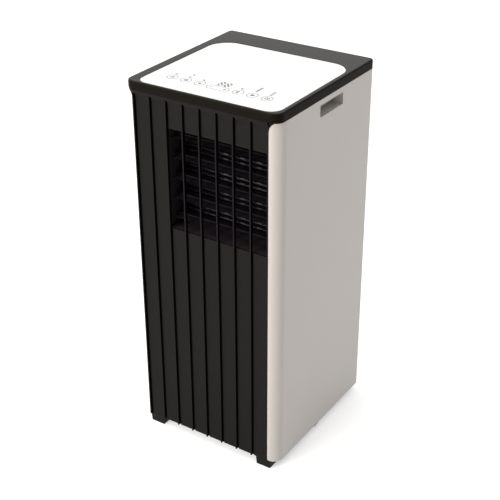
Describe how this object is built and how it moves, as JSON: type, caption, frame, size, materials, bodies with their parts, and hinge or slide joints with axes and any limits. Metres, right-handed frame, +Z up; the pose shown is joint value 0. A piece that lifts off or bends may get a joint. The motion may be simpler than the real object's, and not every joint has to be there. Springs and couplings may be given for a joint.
{
  "type": "portable air conditioner",
  "caption": "Tall wheeled room air conditioner with a ribbed front, swinging outlet louvres, a flush touch panel, grips and pull-out rear filters.",
  "frame": {"origin": "on the floor under the middle of the cabinet", "axes": "+X to the right seen from the front, front faces -Y, +Z up"},
  "size_m": [0.284, 0.298, 0.658],
  "materials": {
    "black_shell": "satin",
    "frame_black": "fine satin grain",
    "white_shell": "satin gloss",
    "rear_shell": "fine grain",
    "touch_white": "high gloss",
    "recess_grey": "fine grain",
    "outlet_black": "fine grain",
    "pan_black": "moulded",
    "small_motor": "moulded",
    "motor_steel": "satin",
    "coil_fins": "rolled",
    "copper_pipe": "drawn copper",
    "blower_black": "moulded",
    "fan_grey": "moulded",
    "inner_white": "moulded",
    "exhaust_grey": "moulded",
    "compressor_black": "semi gloss enamel",
    "black_rubber": "matt",
    "caster_plastic": "moulded",
    "board_green": "laminate",
    "display_dark": "moulded",
    "box_steel": "galvanised",
    "capacitor_can": "drawn can",
    "mesh_grey": "woven mesh"
  },
  "bodies": {
    "cabinet": {"base_pan": "pan_black", "front_feet": "black_shell", "side_glides": "black_shell", "front_panel": "black_shell", "right_side_panel": "white_shell", "left_side_panel": "white_shell", "rear_panel": "rear_shell", "top_frame": "frame_black", "touch_panel": "touch_white", "display_module": "display_dark", "control_board": "board_green", "right_handle_cup": "recess_grey", "left_handle_cup": "recess_grey", "outlet_duct": "outlet_black", "outlet_slats": "outlet_black", "louvre_motor": "small_motor", "middle_deck": "pan_black", "evaporator_coil": "coil_fins", "condenser_coil": "coil_fins", "upper_blower_case": "blower_black", "upper_fan_motor": "motor_steel", "lower_blower_case": "blower_black", "lower_fan_motor": "motor_steel", "exhaust_duct": "exhaust_grey", "exhaust_collar": "exhaust_grey", "compressor": "compressor_black", "compressor_grommets": "black_rubber", "accumulator": "compressor_black", "refrigerant_pipes": "copper_pipe", "splash_motor": "motor_steel", "electrical_box": "box_steel", "run_capacitor": "capacitor_can", "cord_gland": "black_rubber", "upper_drain_spout": "exhaust_grey", "lower_drain_spout": "exhaust_grey"},
    "louvre_1": {"louvre_blade_1": "outlet_black"},
    "louvre_2": {"louvre_blade_2": "outlet_black"},
    "louvre_3": {"louvre_blade_3": "outlet_black"},
    "louvre_4": {"louvre_blade_4": "outlet_black"},
    "louvre_5": {"louvre_blade_5": "outlet_black"},
    "louvre_link": {"louvre_link": "outlet_black"},
    "upper_wheel": {"upper_blower_wheel": "fan_grey"},
    "lower_wheel": {"lower_blower_wheel": "fan_grey"},
    "splash_wheel": {"splash_wheel": "inner_white"},
    "upper_filter": {"upper_filter_frame": "rear_shell", "upper_filter_mesh": "mesh_grey"},
    "lower_filter": {"lower_filter_frame": "rear_shell", "lower_filter_mesh": "mesh_grey"},
    "upper_plug": {"upper_drain_plug": "black_rubber"},
    "lower_plug": {"lower_drain_plug": "black_rubber"},
    "left_caster": {"left_caster_swivel": "caster_plastic"},
    "right_caster": {"right_caster_swivel": "caster_plastic"},
    "left_wheels": {"left_caster_wheels": "black_rubber"},
    "right_wheels": {"right_caster_wheels": "black_rubber"},
    "water_float": {"water_float": "inner_white"}
  },
  "joints": [
    {"name": "louvre_1_swing", "type": "hinge", "parent": "cabinet", "child": "louvre_1", "pos_m": [0.0257, -0.1194, 0.5735], "axis": [1, 0, 0], "range_deg": [-35, 40]},
    {"name": "louvre_2_swing", "type": "hinge", "parent": "cabinet", "child": "louvre_2", "pos_m": [0.0257, -0.1194, 0.5385], "axis": [1, 0, 0], "range_deg": [-35, 40]},
    {"name": "louvre_3_swing", "type": "hinge", "parent": "cabinet", "child": "louvre_3", "pos_m": [0.0257, -0.1194, 0.5035], "axis": [1, 0, 0], "range_deg": [-35, 40]},
    {"name": "louvre_4_swing", "type": "hinge", "parent": "cabinet", "child": "louvre_4", "pos_m": [0.0257, -0.1194, 0.4685], "axis": [1, 0, 0], "range_deg": [-35, 40]},
    {"name": "louvre_5_swing", "type": "hinge", "parent": "cabinet", "child": "louvre_5", "pos_m": [0.0257, -0.1194, 0.4335], "axis": [1, 0, 0], "range_deg": [-35, 40]},
    {"name": "louvre_link_swing", "type": "hinge", "parent": "louvre_5", "child": "louvre_link", "pos_m": [-0.0663, -0.1074, 0.4335], "axis": [1, 0, 0], "range_deg": [-40, 35]},
    {"name": "upper_wheel_spin", "type": "hinge", "parent": "cabinet", "child": "upper_wheel", "pos_m": [0.026, 0.008, 0.492], "axis": [1, 0, 0], "continuous": true},
    {"name": "lower_wheel_spin", "type": "hinge", "parent": "cabinet", "child": "lower_wheel", "pos_m": [0.035, 0.005, 0.292], "axis": [1, 0, 0], "continuous": true},
    {"name": "splash_wheel_spin", "type": "hinge", "parent": "cabinet", "child": "splash_wheel", "pos_m": [-0.04, 0.085, 0.074], "axis": [0, 1, 0], "continuous": true},
    {"name": "left_caster_swivel", "type": "hinge", "parent": "cabinet", "child": "left_caster", "pos_m": [-0.098, 0.098, 0.036], "axis": [0, 0, 1], "continuous": true},
    {"name": "left_wheels_spin", "type": "hinge", "parent": "left_caster", "child": "left_wheels", "pos_m": [-0.098, 0.107, 0.017], "axis": [1, 0, 0], "continuous": true},
    {"name": "right_caster_swivel", "type": "hinge", "parent": "cabinet", "child": "right_caster", "pos_m": [0.098, 0.098, 0.036], "axis": [0, 0, 1], "continuous": true},
    {"name": "right_wheels_spin", "type": "hinge", "parent": "right_caster", "child": "right_wheels", "pos_m": [0.098, 0.107, 0.017], "axis": [1, 0, 0], "continuous": true},
    {"name": "upper_filter_pull", "type": "slide", "parent": "cabinet", "child": "upper_filter", "axis": [0, 1, 0], "range_m": [0, 0.04]},
    {"name": "lower_filter_pull", "type": "slide", "parent": "cabinet", "child": "lower_filter", "axis": [0, 1, 0], "range_m": [0, 0.04]},
    {"name": "upper_plug_pull", "type": "slide", "parent": "cabinet", "child": "upper_plug", "axis": [0, 1, 0], "range_m": [0, 0.02]},
    {"name": "lower_plug_pull", "type": "slide", "parent": "cabinet", "child": "lower_plug", "axis": [0, 1, 0], "range_m": [0, 0.02]},
    {"name": "water_float_rise", "type": "slide", "parent": "cabinet", "child": "water_float", "axis": [0, 0, 1], "range_m": [0, 0.012]}
  ],
  "couplings": [
    {"joint": "louvre_1_swing", "follows": "louvre_5_swing", "ratio": 1},
    {"joint": "louvre_2_swing", "follows": "louvre_5_swing", "ratio": 1},
    {"joint": "louvre_3_swing", "follows": "louvre_5_swing", "ratio": 1},
    {"joint": "louvre_4_swing", "follows": "louvre_5_swing", "ratio": 1},
    {"joint": "louvre_link_swing", "follows": "louvre_5_swing", "ratio": -1}
  ]
}
